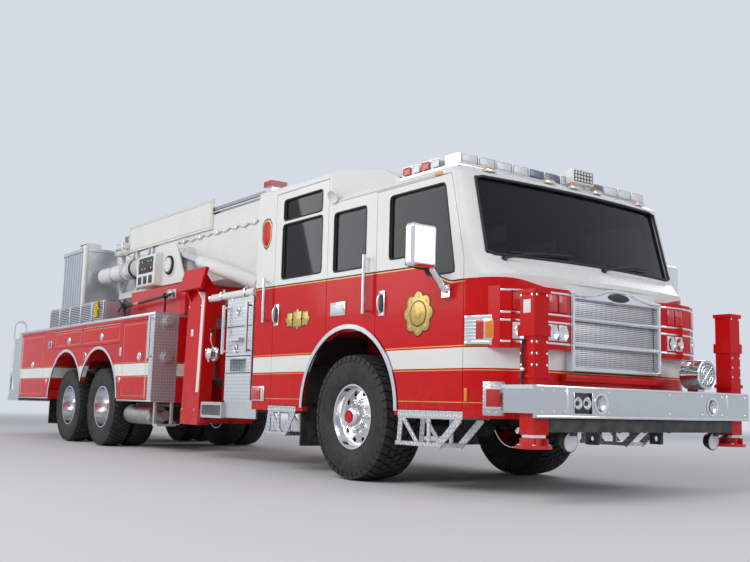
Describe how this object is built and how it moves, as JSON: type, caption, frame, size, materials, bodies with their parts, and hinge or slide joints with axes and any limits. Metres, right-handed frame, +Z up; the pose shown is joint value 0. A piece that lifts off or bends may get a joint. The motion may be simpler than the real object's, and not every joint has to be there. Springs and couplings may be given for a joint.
{
  "type": "mid-mount aerial platform fire engine",
  "caption": "Fire engine with a crew cab, twin rear axles, a raising and telescoping boom with a rescue basket, stabiliser legs, opening doors and steered wheels.",
  "frame": {"origin": "on the ground under the middle of the overall length and width", "axes": "+X forward towards the bumper, +Y to the vehicle's left, +Z up"},
  "size_m": [12.69, 3.274, 3.3],
  "materials": {
    "red_paint": "gloss enamel",
    "white_paint": "gloss enamel",
    "frame_black": "satin enamel",
    "cast_iron": "rough cast",
    "interior_grey": "matte",
    "interior_black": "matte",
    "seat_fabric": "woven",
    "glass": "tinted safety glass",
    "bright_metal": "polished",
    "tread_plate": "raised tread pattern",
    "tyre": "matte rubber"
  },
  "bodies": {
    "chassis": {"chassis_frame": "frame_black", "axles": "frame_black", "powertrain": "cast_iron", "cab_floor": "interior_grey", "cab_front": "red_paint", "cab_back": "red_paint", "cab_sides": "red_paint", "cab_roof": "white_paint", "cab_glass": "glass", "cab_seats": "seat_fabric", "dashboard": "interior_black", "bumper": "bright_metal", "jack_columns": "red_paint", "grille": "bright_metal", "front_lamps": "bright_metal", "light_bar": "bright_metal", "bright_trim": "bright_metal", "cab_steps": "tread_plate", "pedestal": "red_paint", "step_tower": "tread_plate", "body_sides": "red_paint", "body_centre": "tread_plate"},
    "turntable": {"turntable": "tread_plate"},
    "lift_barrels": {"lift_barrels": "red_paint"},
    "lift_rods": {"lift_rods": "bright_metal"},
    "boom_base": {"boom_base": "white_paint"},
    "boom_mid": {"boom_mid": "white_paint"},
    "boom_fly": {"boom_fly": "white_paint"},
    "basket": {"basket": "bright_metal"},
    "front_door_right": {"front_door_right": "red_paint", "front_door_glass_right": "glass", "mirror_right": "bright_metal"},
    "crew_door_right": {"crew_door_right": "red_paint", "crew_door_glass_right": "glass"},
    "knuckle_right": {"knuckle_right": "frame_black"},
    "front_wheel_right": {"front_wheel_right": "tyre"},
    "fore_wheels_right": {"fore_wheels_right": "tyre"},
    "aft_wheels_right": {"aft_wheels_right": "tyre"},
    "jack_leg_right": {"jack_leg_right": "bright_metal"},
    "outrigger_right": {"outrigger_right": "red_paint"},
    "front_locker_door_right": {"front_locker_door_right": "red_paint"},
    "fore_top_locker_door_right": {"fore_top_locker_door_right": "red_paint"},
    "aft_top_locker_door_right": {"aft_top_locker_door_right": "red_paint"},
    "rear_locker_door_right": {"rear_locker_door_right": "red_paint"},
    "front_door_left": {"front_door_left": "red_paint", "front_door_glass_left": "glass", "mirror_left": "bright_metal"},
    "crew_door_left": {"crew_door_left": "red_paint", "crew_door_glass_left": "glass"},
    "knuckle_left": {"knuckle_left": "frame_black"},
    "front_wheel_left": {"front_wheel_left": "tyre"},
    "fore_wheels_left": {"fore_wheels_left": "tyre"},
    "aft_wheels_left": {"aft_wheels_left": "tyre"},
    "jack_leg_left": {"jack_leg_left": "bright_metal"},
    "outrigger_left": {"outrigger_left": "red_paint"},
    "front_locker_door_left": {"front_locker_door_left": "red_paint"},
    "fore_top_locker_door_left": {"fore_top_locker_door_left": "red_paint"},
    "aft_top_locker_door_left": {"aft_top_locker_door_left": "red_paint"},
    "rear_locker_door_left": {"rear_locker_door_left": "red_paint"}
  },
  "joints": [
    {"name": "steer_right", "type": "hinge", "parent": "chassis", "child": "knuckle_right", "pos_m": [4.02, -0.72, 0.55], "axis": [0, 0, 1], "range_deg": [-35, 35]},
    {"name": "front_wheel_spin_right", "type": "hinge", "parent": "knuckle_right", "child": "front_wheel_right", "pos_m": [4.02, -0.99, 0.55], "axis": [0, 1, 0], "continuous": true},
    {"name": "fore_wheels_spin_right", "type": "hinge", "parent": "chassis", "child": "fore_wheels_right", "pos_m": [-2.024, -0.89, 0.535], "axis": [0, 1, 0], "continuous": true},
    {"name": "aft_wheels_spin_right", "type": "hinge", "parent": "chassis", "child": "aft_wheels_right", "pos_m": [-3.388, -0.89, 0.535], "axis": [0, 1, 0], "continuous": true},
    {"name": "front_door_swing_right", "type": "hinge", "parent": "chassis", "child": "front_door_right", "pos_m": [5.55, -1.237, 1.5], "axis": [0, 0, 1], "range_deg": [0, 75]},
    {"name": "crew_door_swing_right", "type": "hinge", "parent": "chassis", "child": "crew_door_right", "pos_m": [3.662, -1.237, 1.7], "axis": [0, 0, 1], "range_deg": [0, 75]},
    {"name": "front_locker_door_swing_right", "type": "hinge", "parent": "chassis", "child": "front_locker_door_right", "pos_m": [-1.167, -1.263, 1.155], "axis": [0, 0, -1], "range_deg": [0, 90]},
    {"name": "rear_locker_door_swing_right", "type": "hinge", "parent": "chassis", "child": "rear_locker_door_right", "pos_m": [-4.453, -1.263, 1.155], "axis": [0, 0, 1], "range_deg": [0, 90]},
    {"name": "fore_top_locker_door_lift_right", "type": "hinge", "parent": "chassis", "child": "fore_top_locker_door_right", "pos_m": [-1.98, -1.263, 1.662], "axis": [-1, 0, 0], "range_deg": [0, 90]},
    {"name": "aft_top_locker_door_lift_right", "type": "hinge", "parent": "chassis", "child": "aft_top_locker_door_right", "pos_m": [-3.3575, -1.263, 1.662], "axis": [-1, 0, 0], "range_deg": [0, 90]},
    {"name": "jack_leg_slide_right", "type": "slide", "parent": "chassis", "child": "jack_leg_right", "axis": [0, 0, -1], "range_m": [0, 0.37]},
    {"name": "outrigger_swing_right", "type": "hinge", "parent": "chassis", "child": "outrigger_right", "pos_m": [0.795, -1.11, 0.48], "axis": [1, 0, 0], "range_deg": [0, 105]},
    {"name": "steer_left", "type": "hinge", "parent": "chassis", "child": "knuckle_left", "pos_m": [4.02, 0.72, 0.55], "axis": [0, 0, 1], "range_deg": [-35, 35]},
    {"name": "front_wheel_spin_left", "type": "hinge", "parent": "knuckle_left", "child": "front_wheel_left", "pos_m": [4.02, 0.99, 0.55], "axis": [0, 1, 0], "continuous": true},
    {"name": "fore_wheels_spin_left", "type": "hinge", "parent": "chassis", "child": "fore_wheels_left", "pos_m": [-2.024, 0.89, 0.535], "axis": [0, 1, 0], "continuous": true},
    {"name": "aft_wheels_spin_left", "type": "hinge", "parent": "chassis", "child": "aft_wheels_left", "pos_m": [-3.388, 0.89, 0.535], "axis": [0, 1, 0], "continuous": true},
    {"name": "front_door_swing_left", "type": "hinge", "parent": "chassis", "child": "front_door_left", "pos_m": [5.55, 1.237, 1.5], "axis": [0, 0, -1], "range_deg": [0, 75]},
    {"name": "crew_door_swing_left", "type": "hinge", "parent": "chassis", "child": "crew_door_left", "pos_m": [3.662, 1.237, 1.7], "axis": [0, 0, -1], "range_deg": [0, 75]},
    {"name": "front_locker_door_swing_left", "type": "hinge", "parent": "chassis", "child": "front_locker_door_left", "pos_m": [-1.167, 1.263, 1.155], "axis": [0, 0, 1], "range_deg": [0, 90]},
    {"name": "rear_locker_door_swing_left", "type": "hinge", "parent": "chassis", "child": "rear_locker_door_left", "pos_m": [-4.453, 1.263, 1.155], "axis": [0, 0, -1], "range_deg": [0, 90]},
    {"name": "fore_top_locker_door_lift_left", "type": "hinge", "parent": "chassis", "child": "fore_top_locker_door_left", "pos_m": [-1.98, 1.263, 1.662], "axis": [1, 0, 0], "range_deg": [0, 90]},
    {"name": "aft_top_locker_door_lift_left", "type": "hinge", "parent": "chassis", "child": "aft_top_locker_door_left", "pos_m": [-3.3575, 1.263, 1.662], "axis": [1, 0, 0], "range_deg": [0, 90]},
    {"name": "jack_leg_slide_left", "type": "slide", "parent": "chassis", "child": "jack_leg_left", "axis": [0, 0, -1], "range_m": [0, 0.37]},
    {"name": "outrigger_swing_left", "type": "hinge", "parent": "chassis", "child": "outrigger_left", "pos_m": [0.795, 1.11, 0.48], "axis": [-1, 0, 0], "range_deg": [0, 105]},
    {"name": "turntable_turn", "type": "hinge", "parent": "chassis", "child": "turntable", "pos_m": [1.07, 0, 1.84], "axis": [0, 0, 1], "range_deg": [-100, 100]},
    {"name": "boom_raise", "type": "hinge", "parent": "turntable", "child": "boom_base", "pos_m": [1.47, 0, 2.56], "axis": [0, 1, 0], "range_deg": [0, 72]},
    {"name": "barrel_tilt", "type": "hinge", "parent": "turntable", "child": "lift_barrels", "pos_m": [1.46, 0, 1.985], "axis": [0, 1, 0], "range_deg": [0, 61.6]},
    {"name": "rod_extend", "type": "slide", "parent": "lift_barrels", "child": "lift_rods", "axis": [-0.9636, 0, 0.2672], "range_m": [0, 0.5]},
    {"name": "mid_slide", "type": "slide", "parent": "boom_base", "child": "boom_mid", "axis": [-1, 0, 0], "range_m": [0, 4.2]},
    {"name": "fly_slide", "type": "slide", "parent": "boom_mid", "child": "boom_fly", "axis": [-1, 0, 0], "range_m": [0, 4.2]},
    {"name": "basket_level", "type": "hinge", "parent": "boom_fly", "child": "basket", "pos_m": [-3.64, 0, 2.225], "axis": [0, 1, 0], "range_deg": [-72, 0]}
  ],
  "couplings": [
    {"joint": "steer_left", "follows": "steer_right", "ratio": 1},
    {"joint": "barrel_tilt", "follows": "boom_raise", "ratio": 0.8537},
    {"joint": "rod_extend", "follows": "boom_raise", "m_per_rad": 0.3805},
    {"joint": "fly_slide", "follows": "mid_slide", "ratio": 1},
    {"joint": "basket_level", "follows": "boom_raise", "ratio": -1}
  ]
}
